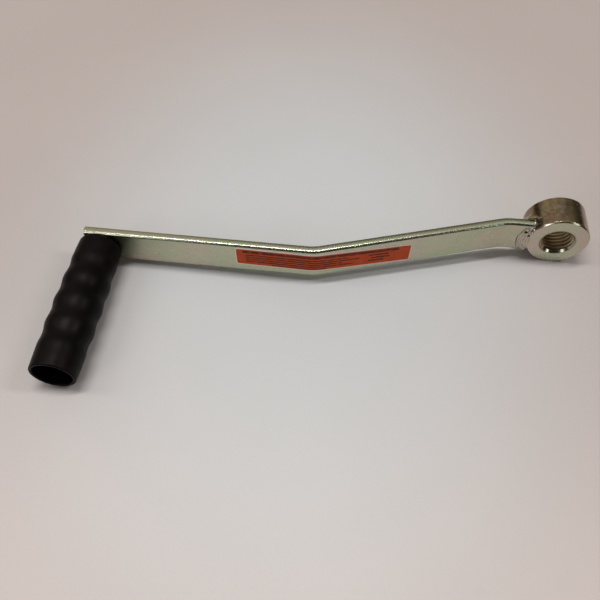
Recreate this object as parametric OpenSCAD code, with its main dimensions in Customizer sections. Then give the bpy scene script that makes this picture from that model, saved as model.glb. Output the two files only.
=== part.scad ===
// Winch crank handle: a joggled flat steel bar with a threaded hub welded to one
// end and a hollow finger grip that turns on a shouldered rivet at the other.
// X runs from the grip to the hub, Y along the hub's bore away from the operator,
// Z up. The origin is on the hub's axis, in the middle of the bar's thickness.

/* [Arm] */
// Width of the flat bar, up and down
bar_w = 25.4; // [22:0.1:30]
// Thickness of the flat bar
bar_t = 6; // [5:0.1:7.5]
// Radius of the bar's four rolled corners
bar_edge_r = 1.5; // [0.6:0.1:2]
// Radius of the crown that rolling leaves across each edge of the bar
bar_crown_r = 7; // [5:0.1:20]
// Hub axis to grip axis
reach = 304.8; // [260:0.1:360]
// How far the joggle brings the grip's end of the bar towards the operator
set_out = 39.5; // [25:0.1:50]
// Hub axis to the knee beside the hub
inner_knee = 36.2; // [34:0.1:46]
// Hub axis to the knee halfway along the bar
outer_knee = 161.6; // [140:0.1:180]
// Radius of both knees, to the middle of the bar
knee_r = 30; // [20:1:40]
// Length of bar past the grip's axis
end_margin = 9.3; // [8:0.1:16]

/* [Hub] */
// Outer diameter of the hub
hub_d = 40.5; // [38:0.1:46]
// Length of the hub along its bore
hub_l = 22.5; // [18:0.1:28]
// How far the hub stands in front of the bar's face
hub_proud = 1.9; // [1:0.1:3]
// Chamfer on the hub's front edge
hub_edge = 0.9; // [0.4:0.1:1.6]
// Chamfer on the hub's back edge
hub_back_edge = 0.3; // [0.1:0.1:1.6]
// Diameter of the bore at the crests of its thread
thread_minor_d = 19.4; // [18:0.1:20.5]
// Diameter of the countersunk mouths of the bore
mouth_d = 22.6; // [22:0.1:24]

/* [Welds] */
// Width of the front weld over the joint
front_weld_w = 8.8; // [7:0.1:12]
// How much of that width lies on the hub
front_weld_lap = 1.9; // [1.4:0.1:3]
// How far the front weld stands over the hub's front face
front_weld_cap = 0.8; // [0.4:0.1:1.6]
// Leg of the fillet weld behind the bar
back_weld_leg = 5.6; // [3:0.1:7]
// Radius of the short welds over the bar's two edges
edge_weld_r = 2.4; // [1.6:0.1:3.2]

/* [Grip] */
// Length of the grip
grip_l = 98.1; // [90:0.1:120]
// Radius of the grip at its middle crest
grip_r = 15; // [14.5:0.1:17]
// Depth of the finger waves, crest to valley
wave_depth = 0.84; // [0.4:0.02:1.6]
// Distance from one finger wave to the next
wave_pitch = 16.8; // [14:0.1:19]
// How much slimmer the grip is at its ends than at its middle
grip_barrel = 1.2; // [0.5:0.05:1.6]
// Rounding of the grip's edge next to the bar
grip_shoulder_r = 2.4; // [1:0.1:3]
// Radius of the hollow at the open end
hollow_r = 11.7; // [11.2:0.1:12]
// How much the hollow narrows from its mouth to its floor
hollow_draft = 0.5; // [0.2:0.1:1]
// Thickness of the grip's end wall next to the bar
end_wall = 3.2; // [2:0.1:5]
// Outer radius of the bearing tube inside the grip
tube_r = 7.4; // [6.6:0.1:8]
// Length of the bearing, end wall and tube together
bearing_l = 62; // [45:0.5:66]
// Number of ribs between the bearing tube and the grip's wall
rib_count = 6; // [3:1:8]
// Thickness of a rib
rib_t = 1.6; // [1:0.1:2.4]
// How far the ribs stop short of the tube's end
rib_back = 6; // [2:0.5:12]

/* [Spindle] */
// Diameter of the spindle's shank, on which the grip turns
shank_d = 9.5; // [8:0.1:10.5]
// Diameter of the tenon that goes through the bar
tenon_d = 7.9; // [6.5:0.1:7.9]
// Diameter of the spindle's head inside the grip
head_d = 16; // [13.5:0.1:18]
// Height of the spindle's head
head_h = 4; // [3:0.1:6]
// Diameter of the staked head behind the bar
stake_d = 14; // [11:0.1:16]
// Height of the staked head
stake_h = 2.2; // [1.5:0.1:2.8]
// Outer diameter of the washer under the spindle's head
washer_d = 17.6; // [15:0.1:19]
// Thickness of that washer
washer_t = 1.6; // [1:0.1:2.4]

/* [Fits] */
// Radial clearance between the shank and the grip's bearing
bearing_gap = 0.09; // [0.03:0.01:0.1]
// Clearance between the shank and its washer
washer_gap = 0.2; // [0.1:0.05:0.3]
// End play of the grip, at each of its two ends
grip_play = 0.25; // [0.15:0.05:0.35]

/* [Label] */
// Least bare strip between the label and the bar's rolled corners
label_margin = 0.4; // [0.2:0.1:2.5]
// Thickness of the label
label_t = 0.2; // [0.15:0.05:0.3]
// Length of the label on the grip's side of the outer knee
label_out = 51.7; // [40:0.1:60]
// Length of the label on the hub's side of the outer knee
label_in = 65.6; // [50:0.1:75]
// How far the label's middle line lies above the bar's at its grip end
label_out_up = 2.4; // [-2:0.1:3]
// How far it lies above the bar's at the knee
label_knee_up = 1.4; // [-1:0.1:1.5]
// How far it lies above the bar's at its hub end, here below it
label_in_up = -1.8; // [-3:0.1:2]
// Radius of the label's corners
label_corner_r = 1.8; // [0.5:0.1:3]

/* [Hidden] */
$fn = 96;

steel = "#b9bba8";
weld_steel = "#a9a79a";
moulding = "#231f20";
sticker = "#b5492f";

// The joggle: the angle of the slanted run, and how much of each straight run
// the two knees take up
knee_angle = atan(set_out / (outer_knee - inner_knee));
knee_tan = knee_r * tan(knee_angle / 2);
half_t = bar_t / 2;
half_w = bar_w / 2;
knee_steps = 8;
edge_steps = 4;
crown_steps = 4;

// Where a rolled corner's centre lies, and how far the crown has turned there
crown_tilt = asin((half_t - bar_edge_r) / (bar_crown_r - bar_edge_r));
corner_at = [
    half_t - bar_edge_r,
    half_w - bar_crown_r + (bar_crown_r - bar_edge_r) * cos(crown_tilt)
];

// The hub's two faces
hub_r = hub_d / 2;
hub_front_y = -half_t - hub_proud;
hub_back_y = hub_front_y + hub_l;
mouth_depth = (mouth_d - thread_minor_d) / 2;

// Where the top of the bar meets the hub
joint_x = -sqrt(hub_r * hub_r - half_w * half_w);

// The grip's end of the bar and the places along the grip's axis, which runs
// towards the operator from the bar's front face
bar_front = [-reach, -set_out - half_t, 0];
bearing_r = shank_d / 2 + bearing_gap;
shank_l = bearing_l + 2 * grip_play + washer_t;
washer_at = shank_l - washer_t;
half_grip = grip_l / 2;
wave_a = wave_depth / 2;
hollow_floor_r = hollow_r - hollow_draft;
lip_r = 0.9;
profile_steps = 60;

// The label fills the flat of the bar, less its margins and how far it wanders
label_wander = max(abs(label_out_up), abs(label_knee_up), abs(label_in_up));
label_h = 2 * (corner_at.y - label_margin - label_wander);

// The bar's middle line in plan, from the hub's axis to the bar's square end, as
// points with the heading there: straight, round the inner knee, along the slant,
// round the outer knee and straight again
bar_line = concat(
    [[0, 0, 180]],
    [for (i = [0:knee_steps]) knee_station(
        [-inner_knee + knee_tan, -knee_r], 90, knee_angle * i / knee_steps)],
    [for (i = [knee_steps:-1:0]) knee_station(
        [-outer_knee - knee_tan, -set_out + knee_r], -90, knee_angle * i / knee_steps)],
    [[-reach - end_margin, -set_out, 180]]
);

// A point on a knee about c, turned by a from where that knee's arc starts
function knee_station(c, start, a) = [
    c.x + knee_r * cos(start + a),
    c.y + knee_r * sin(start + a),
    180 + a
];

// Section of the rolled bar, as points across its thickness and up its width. Its
// upper edge is a corner, the crown and another corner, and its lower edge is the
// upper one turned half round.
bar_upper_edge = concat(
    arc_points(corner_at, bar_edge_r, 0, 90 - crown_tilt, edge_steps),
    [for (i = [1:crown_steps - 1])
        let (a = 90 - crown_tilt + 2 * crown_tilt * i / crown_steps)
            [bar_crown_r * cos(a), half_w - bar_crown_r + bar_crown_r * sin(a)]],
    arc_points([-corner_at.x, corner_at.y], bar_edge_r, 90 + crown_tilt, 180, edge_steps)
);
bar_section = concat(bar_upper_edge, [for (p = bar_upper_edge) -p]);

// Section of a band as thick as the label, lying on the bar's front face
band_section = [
    [half_t + label_t, half_w],
    [half_t, half_w],
    [half_t, -half_w],
    [half_t + label_t, -half_w]
];

// Carries a section along the bar's line: its first number counts towards the
// operator and its second upwards
module along_bar(section) {
    n = len(section);
    last = (len(bar_line) - 1) * n;
    polyhedron(
        points = [
            for (s = bar_line, p = section)
                [s.x - p.x * sin(s.z), s.y + p.x * cos(s.z), p.y]
        ],
        faces = concat(
            [[for (i = [0:n - 1]) i]],
            [
                for (row = [0:n:last - n], i = [0:n - 1])
                    let (j = (i + 1) % n)
                    [row + i, row + n + i, row + n + j, row + j]
            ],
            [[for (i = [n - 1:-1:0]) last + i]]
        )
    );
}

// Turns a profile that was drawn as radius and distance along +Y about the hub's axis
module about_hub() {
    rotate([-90, 0, 0])
        rotate_extrude()
            children();
}

// Puts a child on the grip's axis, with its own +Z from the bar towards the operator
module on_grip_axis() {
    translate(bar_front)
        rotate([90, 0, 0])
            children();
}

module arm_solid() {
    difference() {
        along_bar(bar_section);
        about_hub()
            translate([0, hub_front_y - 1])
                square([hub_r, hub_l + 2]);
        on_grip_axis()
            translate([0, 0, -bar_t - 1])
                cylinder(h = bar_t + 2, d = tenon_d);
    }
}

module hub_solid() {
    about_hub()
        polygon([
            [thread_minor_d / 2, hub_front_y + mouth_depth],
            [mouth_d / 2, hub_front_y],
            [hub_r - hub_edge, hub_front_y],
            [hub_r, hub_front_y + hub_edge],
            [hub_r, hub_back_y - hub_back_edge],
            [hub_r - hub_back_edge, hub_back_y],
            [mouth_d / 2, hub_back_y],
            [thread_minor_d / 2, hub_back_y - mouth_depth]
        ]);
}

// The part of a ring about the hub that lies on the bar, between the bar's edges
module within_bar(front_y, back_y) {
    intersection() {
        children();
        translate([-hub_r - front_weld_w, front_y, -half_w])
            cube([hub_r + front_weld_w, back_y - front_y, bar_w]);
    }
}

// Front weld: a low lens over the joint, from the bar's face onto the hub's face
module front_weld_solid() {
    rise = hub_proud + front_weld_cap;
    lens_r = (pow(front_weld_w / 2, 2) + rise * rise) / (2 * rise);
    difference() {
        within_bar(-half_t - rise, -half_t)
            about_hub()
                translate([hub_r + front_weld_w / 2 - front_weld_lap, -half_t - rise + lens_r])
                    circle(lens_r);
        arm_solid();
        hub_solid();
    }
}

// Back weld: a fillet between the bar's back and the hub's side
module back_weld_solid() {
    difference() {
        within_bar(half_t, half_t + back_weld_leg)
            about_hub()
                translate([hub_r, half_t])
                    circle(back_weld_leg);
        arm_solid();
        hub_solid();
    }
}

// One of the two short welds over the bar's edges, where the bar meets the hub:
// side is 1 on top and -1 underneath. Its sloped ends wrap the bar's corners and
// stop at the front and back welds.
module edge_weld_solid(side) {
    reach_y = half_t + edge_weld_r / 2;
    difference() {
        translate([joint_x, 0, side * half_w])
            rotate([90, 0, 0])
                rotate_extrude()
                    polygon([
                        [0, -reach_y],
                        [edge_weld_r / 2, -reach_y],
                        [edge_weld_r, -half_t],
                        [edge_weld_r, half_t],
                        [edge_weld_r / 2, reach_y],
                        [0, reach_y]
                    ]);
        for (end = [-1, 1])
            translate([joint_x, end * bar_t, 0])
                cube([2 * edge_weld_r + 1, bar_t, bar_w], center = true);
        arm_solid();
        hub_solid();
    }
}

module arm() {
    color(steel)
        arm_solid();
}

module hub() {
    color(steel)
        hub_solid();
}

module weld_front() {
    color(weld_steel)
        front_weld_solid();
}

module weld_back() {
    color(weld_steel)
        back_weld_solid();
}

module weld_top() {
    color(weld_steel)
        edge_weld_solid(1);
}

module weld_bottom() {
    color(weld_steel)
        edge_weld_solid(-1);
}

// The label's outline as seen square on to the grip's end of the bar
module label_outline() {
    label_hub_x = -outer_knee + label_in * cos(knee_angle);
    middles = [
        [-outer_knee - label_out, label_out_up],
        [-outer_knee, label_knee_up],
        [label_hub_x, label_in_up]
    ];
    offset(r = label_corner_r)
        offset(delta = -label_corner_r)
            polygon(concat(
                [for (p = middles) p + [0, label_h / 2]],
                [for (i = [2:-1:0]) middles[i] - [0, label_h / 2]]
            ));
}

// A band over the whole front of the outer knee, cut to the label's outline
module label() {
    color(sticker)
        intersection() {
            along_bar(band_section);
            rotate([90, 0, 0])
                linear_extrude(2 * set_out + 2 * bar_t)
                    label_outline();
        }
}

// Shouldered rivet: tenon and staked head behind, shank and domed head in front
module spindle() {
    dome_r = (pow(head_d / 2, 2) + head_h * head_h) / (2 * head_h);
    stake_r = (pow(stake_d / 2, 2) + stake_h * stake_h) / (2 * stake_h);
    color(steel)
        on_grip_axis() {
            translate([0, 0, -bar_t - stake_h / 2])
                cylinder(h = shank_l + bar_t + stake_h / 2, d = tenon_d);
            cylinder(h = shank_l, d = shank_d);
            translate([0, 0, shank_l])
                intersection() {
                    translate([0, 0, head_h - dome_r])
                        sphere(dome_r);
                    cylinder(h = head_h, d = head_d);
                }
            translate([0, 0, -bar_t])
                mirror([0, 0, 1])
                    intersection() {
                        translate([0, 0, stake_h - stake_r])
                            sphere(stake_r);
                        cylinder(h = stake_h, d = stake_d);
                    }
        }
}

module spindle_washer() {
    color(steel)
        on_grip_axis()
            translate([0, 0, washer_at])
                difference() {
                    cylinder(h = washer_t, d = washer_d);
                    translate([0, 0, -1])
                        cylinder(h = washer_t + 2, r = shank_d / 2 + washer_gap);
                }
}

// Radius of the grip at a distance from its middle: a slight barrel with four
// finger waves, and plain past the outer ones
function grip_radius(u) =
    grip_r - wave_a - grip_barrel * pow(u / half_grip, 2)
    + (abs(u) < 2 * wave_pitch ? wave_a * cos(360 * u / wave_pitch) : wave_a);

// A quarter circle of radius r about c, from one angle to another
function arc_points(c, r, from, to, steps = 8) =
    [for (i = [0:steps]) c + r * [cos(from + (to - from) * i / steps), sin(from + (to - from) * i / steps)]];

// Outside of the grip, radius against distance from its end wall, as a full form
module grip_outside() {
    body_from = grip_shoulder_r;
    body_to = grip_l - lip_r;
    step = (body_to - body_from) / profile_steps;
    shoulder_at = grip_radius(body_from - half_grip);
    lip_at = grip_radius(body_to - half_grip);
    polygon(concat(
        [[0, 0]],
        arc_points([shoulder_at - grip_shoulder_r, grip_shoulder_r], grip_shoulder_r, -90, 0),
        [for (i = [1:profile_steps - 1])
            [grip_radius(body_from + i * step - half_grip), body_from + i * step]],
        arc_points([lip_at - lip_r, body_to], lip_r, 0, 90),
        [[0, grip_l]]
    ));
}

// The tapered hollow of the grip, with a rounded lip at its mouth
module grip_hollow() {
    polygon(concat(
        [[0, end_wall], [hollow_floor_r, end_wall], [hollow_r, grip_l - lip_r]],
        arc_points([hollow_r + lip_r, grip_l - lip_r], lip_r, 180, 90),
        [[hollow_r + lip_r, grip_l + 1], [0, grip_l + 1]]
    ));
}

// Hollow moulded grip: a waved wall, an end wall, and a bearing tube held by ribs
module grip() {
    rib_l = bearing_l - end_wall - rib_back;
    color(moulding)
        on_grip_axis()
            translate([0, 0, grip_play])
                difference() {
                    union() {
                        rotate_extrude()
                            difference() {
                                grip_outside();
                                grip_hollow();
                            }
                        cylinder(h = bearing_l, r = tube_r);
                        for (i = [0:rib_count - 1])
                            rotate([0, 0, i * 360 / rib_count])
                                translate([bearing_r + 0.5, -rib_t / 2, end_wall / 2])
                                    cube([hollow_r + 0.5 - bearing_r, rib_t, end_wall / 2 + rib_l]);
                    }
                    translate([0, 0, -1])
                        cylinder(h = bearing_l + 2, r = bearing_r);
                }
}

arm();
hub();
weld_front();
weld_back();
weld_top();
weld_bottom();
label();
spindle();
spindle_washer();
grip();
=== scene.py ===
import bpy
import bmesh
import numpy as np
from mathutils import Matrix


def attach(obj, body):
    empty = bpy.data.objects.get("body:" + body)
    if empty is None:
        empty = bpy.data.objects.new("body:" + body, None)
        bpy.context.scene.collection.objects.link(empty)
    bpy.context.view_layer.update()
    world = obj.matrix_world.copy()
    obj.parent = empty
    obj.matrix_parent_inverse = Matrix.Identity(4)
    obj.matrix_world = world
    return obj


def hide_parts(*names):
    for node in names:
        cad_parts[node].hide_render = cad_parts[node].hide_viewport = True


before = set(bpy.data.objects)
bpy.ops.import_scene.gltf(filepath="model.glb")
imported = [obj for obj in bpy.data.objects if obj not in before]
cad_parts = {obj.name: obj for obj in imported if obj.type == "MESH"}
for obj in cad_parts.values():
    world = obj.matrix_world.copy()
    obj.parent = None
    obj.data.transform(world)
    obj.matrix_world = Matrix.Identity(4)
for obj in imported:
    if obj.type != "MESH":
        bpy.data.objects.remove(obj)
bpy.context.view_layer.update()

mm = 0.001
circle = 2 * np.pi

# The camera and the shapes are worked out in millimetres, and the floor, the lamps and
# the patterns of the finishes in metres. X runs from the grip to the hub, Y away from
# the operator and Z up, with the hub's axis along Y through the origin.


# Placing helpers
def linked(name, data, axes=None, place=None):
    # a new object; axes are its own X, Y and Z, and place is in metres
    made = bpy.data.objects.new(name, data)
    bpy.context.collection.objects.link(made)
    if axes:
        stand = np.eye(4)
        stand[:3] = np.stack([*axes, place], -1)
        made.matrix_world = Matrix(stand.tolist())
    return made


def joined(*parts):
    # coordinates spread over one grid and joined along its last axis
    return np.stack(np.broadcast_arrays(*parts), -1)


# Camera
photoCamera = {
    "place": (-142.82, -289.31, 322.37), "pitch": 55.71, "yaw": 6.33, "roll": -0.16,
    "lens": 37.05, "shift": -0.5 / 600,
}


def makeCamera():
    # Forward is level north tilted down by the pitch and turned by the yaw; the
    # picture's right and down follow from it, turned by the small roll.
    pitch, yaw, roll = np.radians([photoCamera["pitch"], photoCamera["yaw"], photoCamera["roll"]])
    forward = np.array([-np.sin(yaw) * np.cos(pitch), np.cos(yaw) * np.cos(pitch), -np.sin(pitch)])
    level = np.array([np.cos(yaw), np.sin(yaw), 0.0])
    down = np.cross(forward, level)
    right = level * np.cos(roll) + down * np.sin(roll)
    down = down * np.cos(roll) - level * np.sin(roll)
    lens = bpy.data.cameras.new("photoCamera")
    lens.lens, lens.sensor_width = photoCamera["lens"], 36.0
    lens.shift_x = lens.shift_y = photoCamera["shift"]
    lens.clip_start, lens.clip_end = 0.01, 60.0
    place = np.array(photoCamera["place"]) * mm
    bpy.context.scene.camera = linked("photoCamera", lens, (right, -down, -forward), place)
    bpy.context.scene.view_settings.view_transform = "Standard"


makeCamera()
print("camera set")


# Node helpers: each adds its nodes to the tree that its first node or socket is in
def setInput(socket, value):
    # joins the socket to another one, or sets its own value
    if isinstance(value, bpy.types.NodeSocket):
        socket.id_data.links.new(value, socket)
    elif socket.type == "RGBA":
        socket.default_value = (*value[:3], 1.0)
    else:
        socket.default_value = value


def addNode(beside, kind, inputs=None, **settings):
    made = beside.id_data.nodes.new("ShaderNode" + kind)
    for key, value in settings.items():
        setattr(made, key, value)
    for key, value in (inputs or {}).items():
        setInput(made.inputs[key], value)
    return made


def objectPlace(shader):
    return addNode(shader, "TexCoord").outputs["Object"]


def pieceChart(shader):
    return addNode(shader, "UVMap", uv_map="UVMap").outputs[0]


def pieceMark(shader):
    return addNode(shader, "Attribute", attribute_name="mark").outputs["Fac"]


def mapped(place, shift=(0, 0, 0), stretch=(1, 1, 1)):
    return addNode(place, "Mapping", {"Vector": place, "Location": shift, "Scale": stretch}).outputs[0]


def noise(place, scale, detail=3.0, rough=0.55, stretch=None, shift=(0, 0, 0)):
    # soft noise of about 1 / scale metres, pulled out along an axis by stretch
    if stretch:
        place = mapped(place, shift, stretch)
    inputs = {"Vector": place, "Scale": scale, "Detail": detail, "Roughness": rough}
    return addNode(place, "TexNoise", inputs).outputs["Fac"]


def remap(value, low, high, toLow=0.0, toHigh=1.0, eased=False):
    limits = {"Value": value, "From Min": low, "From Max": high, "To Min": toLow, "To Max": toHigh}
    return addNode(value, "MapRange", limits, clamp=True,
                   interpolation_type="SMOOTHSTEP" if eased else "LINEAR").outputs[0]


def spread(cloudy, low, high):
    # carries noise, which stays mostly between 0.3 and 0.7, to a range
    return remap(cloudy, 0.3, 0.7, low, high)


def calc(operation, *values):
    beside = next(value for value in values if isinstance(value, bpy.types.NodeSocket))
    return addNode(beside, "Math", dict(enumerate(values)), operation=operation).outputs[0]


def plus(first, second):
    return calc("ADD", first, second)


def times(first, second):
    return calc("MULTIPLY", first, second)


def oneLess(value):
    return calc("SUBTRACT", 1.0, value)


def lengthOf(vector):
    return addNode(vector, "VectorMath", {0: vector}, operation="LENGTH").outputs["Value"]


def scaled(vector, factor):
    return addNode(vector, "VectorMath", {0: vector, "Scale": factor}, operation="SCALE").outputs["Vector"]


def blendColor(factor, first, second, mode="MIX"):
    inputs = {0: factor, 6: first, 7: second}
    return addNode(factor, "Mix", inputs, data_type="RGBA", blend_type=mode).outputs[2]


def blendFloat(factor, first, second):
    return addNode(factor, "Mix", {0: factor, 2: first, 3: second}, data_type="FLOAT").outputs[0]


def bumped(height, metres, strength=1.0, under=None):
    # a bump of this height over the full range of the value, on top of another
    inputs = {"Height": height, "Distance": metres, "Strength": strength}
    if under:
        inputs["Normal"] = under
    return addNode(height, "Bump", inputs).outputs[0]


def feed(shader, **sockets):
    # sets or joins the shader's sockets
    for key, value in sockets.items():
        setInput(shader.inputs[key.replace("_", " ")], value)


def finish(name, **sockets):
    # a new material and its shader
    material = bpy.data.materials.new(name)
    material.use_nodes = True
    shader = material.node_tree.nodes["Principled BSDF"]
    feed(shader, **sockets)
    return material, shader


# Floor, lamps, room
floorLook = {
    "halfSize": 15.0, "tilt": 0.987, "drop": 0.02025,
    "near": (0.512, 0.515, 0.525), "far": (0.452, 0.386, 0.370),
    "middle": (-0.17, -0.02), "narrower": 1.42, "reach": (0.06, 0.37),
    # painted light: the floor is painted lighter in front and darker far from the middle, and its oval of
    # near and far tones is a painted pool of light
    "paintedLightFront": (-0.05, -0.26, 1.0, 1.25),    # from one Y to another, and how much
    "fade": (0.50, 0.68, 1.0, 0.12),         # the same, by distance from the middle
    "mottle": (0.985, 1.015),                # its darkest and lightest
    "grain": 0.00003, "roughness": 0.6, "specular": 0.3,
}


def makeFloor():
    # A plane that touches the hub's and the grip's undersides. Its tone is a painted pool
    # of light: near to far over an oval, lighter in front, darker into the room far out.
    tilt = np.radians(floorLook["tilt"])
    sides = [-floorLook["halfSize"], floorLook["halfSize"]]
    x, y = np.meshgrid(sides, sides)
    z = -floorLook["drop"] / np.cos(tilt) - np.tan(tilt) * x
    mesh = bpy.data.meshes.new("tabletop")
    mesh.from_pydata(joined(x, y, z).reshape(-1, 3).tolist(), [], [(0, 1, 3, 2)])
    linked("tabletop", mesh)
    material, shader = finish("paleTabletop", Roughness=floorLook["roughness"],
                              Specular_IOR_Level=floorLook["specular"])
    place = objectPlace(shader)
    centred = mapped(place, (-floorLook["middle"][0], -floorLook["middle"][1], 0.0))
    outward = lengthOf(mapped(centred, stretch=(floorLook["narrower"], 1.0, 1.0)))
    tone = blendColor(remap(outward, *floorLook["reach"], eased=True), floorLook["near"], floorLook["far"])
    cloud = spread(noise(place, 9.0, 4.0), *floorLook["mottle"])
    speck = spread(noise(place, 900.0, 2.0), *floorLook["mottle"])
    y = addNode(place, "SeparateXYZ", {0: place}).outputs["Y"]
    # painted light: lighter in front and darker far out
    shade = times(times(cloud, speck), remap(y, *floorLook["paintedLightFront"], eased=True))
    shade = times(shade, remap(lengthOf(centred), *floorLook["fade"], eased=True))
    feed(shader, Base_Color=scaled(tone, shade), Normal=bumped(noise(place, 1400.0), floorLook["grain"]))
    mesh.materials.append(material)


# Each lamp: where its middle is for each metre up, height, length and width, how far
# its length is turned, and its share of the light on the floor, all of which is about 1
lamps = {
    "middleStrip": ((-0.123, 0.081), 2.24, (1.35, 0.14), 20, 0.55),
    "rightStrip": ((0.948, 0.164), 2.23, (1.04, 0.26), -8, 0.16),
    "leftStrip": ((-1.039, 0.013), 2.21, (1.78, 0.39), 3, 0.11),
    "frontLeft": ((-1.00, -1.35), 2.00, (1.30, 1.30), 0, 0.07),
    "frontRight": ((1.80, -1.32), 1.00, (0.40, 0.25), 0, 0.014),
}
lampTone, lampTarget = (1.0, 1.0, 0.99), (-0.15, -0.04, 0.0)
room = {
    # the room's tone at each height, as the sine of its elevation, and its paler wall
    "heights": (0.0, 0.12, 0.35, 0.62, 0.78, 0.90, 1.0),
    "tones": ((0.045, 0.037, 0.028), (0.050, 0.041, 0.030), (0.075, 0.062, 0.045),
              (0.18, 0.155, 0.115), (0.42, 0.40, 0.325), (0.48, 0.46, 0.40), (0.50, 0.49, 0.46)),
    "wallToward": (-0.50, 0.60, 0.62), "wallReach": (0.89, 0.975), "wall": (0.44, 0.40, 0.31),
    "front": (-0.45, 0.15, 0.20, 1.0),       # from one Y of the direction to another, and how dark
}


def addLamp(name, toward, height, size, turn, share):
    # the power that gives a share of pi watts per square metre on a level floor
    facing = np.array([*toward, 1.0])
    away = np.linalg.norm(facing) * height
    facing /= np.linalg.norm(facing)
    turn = np.radians(turn)
    across = np.array([np.cos(turn), np.sin(turn), 0.0])
    across -= (across @ facing) * facing
    across /= np.linalg.norm(across)
    lamp = bpy.data.lights.new(name, "AREA")
    lamp.shape, lamp.size, lamp.size_y = "RECTANGLE", size[0], size[1]
    lamp.energy = float(np.pi ** 2 * share * away ** 2 / facing[2])
    lamp.color = lampTone
    linked(name, lamp, (across, np.cross(facing, across), facing), lampTarget + facing * away)


def makeRoom():
    # a ramp of tones by height, a paler patch toward the wall, and darker in front
    world = bpy.data.worlds.new("dimRoom")
    bpy.context.scene.world = world
    world.use_nodes = True
    background = world.node_tree.nodes["Background"]
    direction = addNode(background, "TexCoord").outputs["Generated"]
    parts = addNode(direction, "SeparateXYZ", {0: direction})
    tones = addNode(direction, "ValToRGB", {"Fac": parts.outputs["Z"]})
    stops = tones.color_ramp.elements
    while len(stops) < len(room["heights"]):
        stops.new(0.5)
    for stop, at, tone in zip(stops, room["heights"], room["tones"]):
        stop.position, stop.color = at, (*tone, 1.0)
    wallward = np.array(room["wallToward"]) / np.linalg.norm(room["wallToward"])
    near = addNode(direction, "VectorMath", {0: direction, 1: wallward.tolist()}, operation="DOT_PRODUCT")
    patch = remap(near.outputs["Value"], *room["wallReach"], eased=True)
    tone = blendColor(patch, tones.outputs["Color"], room["wall"])
    dark = remap(parts.outputs["Y"], *room["front"], eased=True)
    feed(background, Color=scaled(tone, dark))


makeFloor()
for lampName, values in lamps.items():
    addLamp(lampName, *values)
makeRoom()
print("floor, lamps and room made")


# Surface helpers
def unevenness(place, size, seed, waves=14):
    # a sum of sine waves that run in random directions, each about size long;
    # it stays mostly between -1 and 1
    draw = np.random.default_rng(seed)
    total = np.zeros(place.shape[:-1])
    for _ in range(waves):
        direction = draw.normal(size=3)
        direction /= np.linalg.norm(direction) * size * draw.uniform(0.6, 1.7)
        total += np.sin(circle * (place @ direction) + draw.uniform(0, circle))
    return total / np.sqrt(waves)


def dented(place, *dents):
    # unevenness of several kinds added up, each with its height, size and seed
    return sum(height * unevenness(place, size, seed) for height, size, seed in dents)


def blob(place, centre, radius):
    # one at the centre, falling off as a bell curve of this radius
    return np.exp(-np.sum(((place - np.array(centre)) / radius) ** 2, -1))


def smooth(value):
    value = np.clip(value, 0.0, 1.0)
    return value * value * (3 - 2 * value)


def ramp(value, start, run):
    # a smooth step from 0 to 1 that begins at start and takes this run
    return smooth((value - start) / run)


def buildPiece(name, node, material, grids, sharp, body="crank"):
    # Each grid is points, chart and mark: its points become quads that join every
    # point to the next along both ways. Points in one place are merged, so that
    # seams, poles and shared rims close, and the faces are turned outwards. Edges
    # between faces that turn by more than sharp degrees stay crisp.
    points, charts, marks, quads, first = [], [], [], [], 0
    for place, chart, mark in grids:
        rows, columns = place.shape[:2]
        index = first + np.arange(rows * columns).reshape(rows, columns)
        quads.append(joined(index[:-1, :-1], index[1:, :-1], index[1:, 1:], index[:-1, 1:]).reshape(-1, 4))
        points.append(place.reshape(-1, 3))
        charts.append(chart.reshape(-1, 2))
        marks.append(np.broadcast_to(mark, (rows, columns)).reshape(-1))
        first += rows * columns
    points, charts = np.concatenate(points) * mm, np.concatenate(charts) * mm
    marks, quads = np.concatenate(marks), np.concatenate(quads)
    mesh = bpy.data.meshes.new(name)
    mesh.from_pydata(points.tolist(), [], quads.tolist())
    corners = charts[quads.ravel()].astype(np.float32).ravel()
    mesh.uv_layers.new(name="UVMap").uv.foreach_set("vector", corners)
    mesh.attributes.new("mark", "FLOAT", "POINT").data.foreach_set("value", marks.astype(np.float32))
    work = bmesh.new()
    work.from_mesh(mesh)
    bmesh.ops.remove_doubles(work, verts=work.verts, dist=2e-6)
    bmesh.ops.dissolve_degenerate(work, edges=work.edges, dist=1e-7)
    bmesh.ops.recalc_face_normals(work, faces=work.faces)
    if work.calc_volume(signed=True) < 0:
        bmesh.ops.reverse_faces(work, faces=work.faces)
    openEdges = sum(not edge.is_manifold for edge in work.edges)
    volume = work.calc_volume(signed=True) / mm ** 3
    work.to_mesh(mesh)
    work.free()
    mesh.polygons.foreach_set("use_smooth", np.ones(len(mesh.polygons), bool))
    mesh.set_sharp_from_angle(angle=np.radians(sharp))
    mesh.materials.append(material)
    made = linked(name, mesh)
    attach(made, body)
    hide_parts(node)
    print(f"{name}: {len(mesh.polygons)} faces, {openEdges} open edges, {volume:.0f} mm3")


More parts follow.
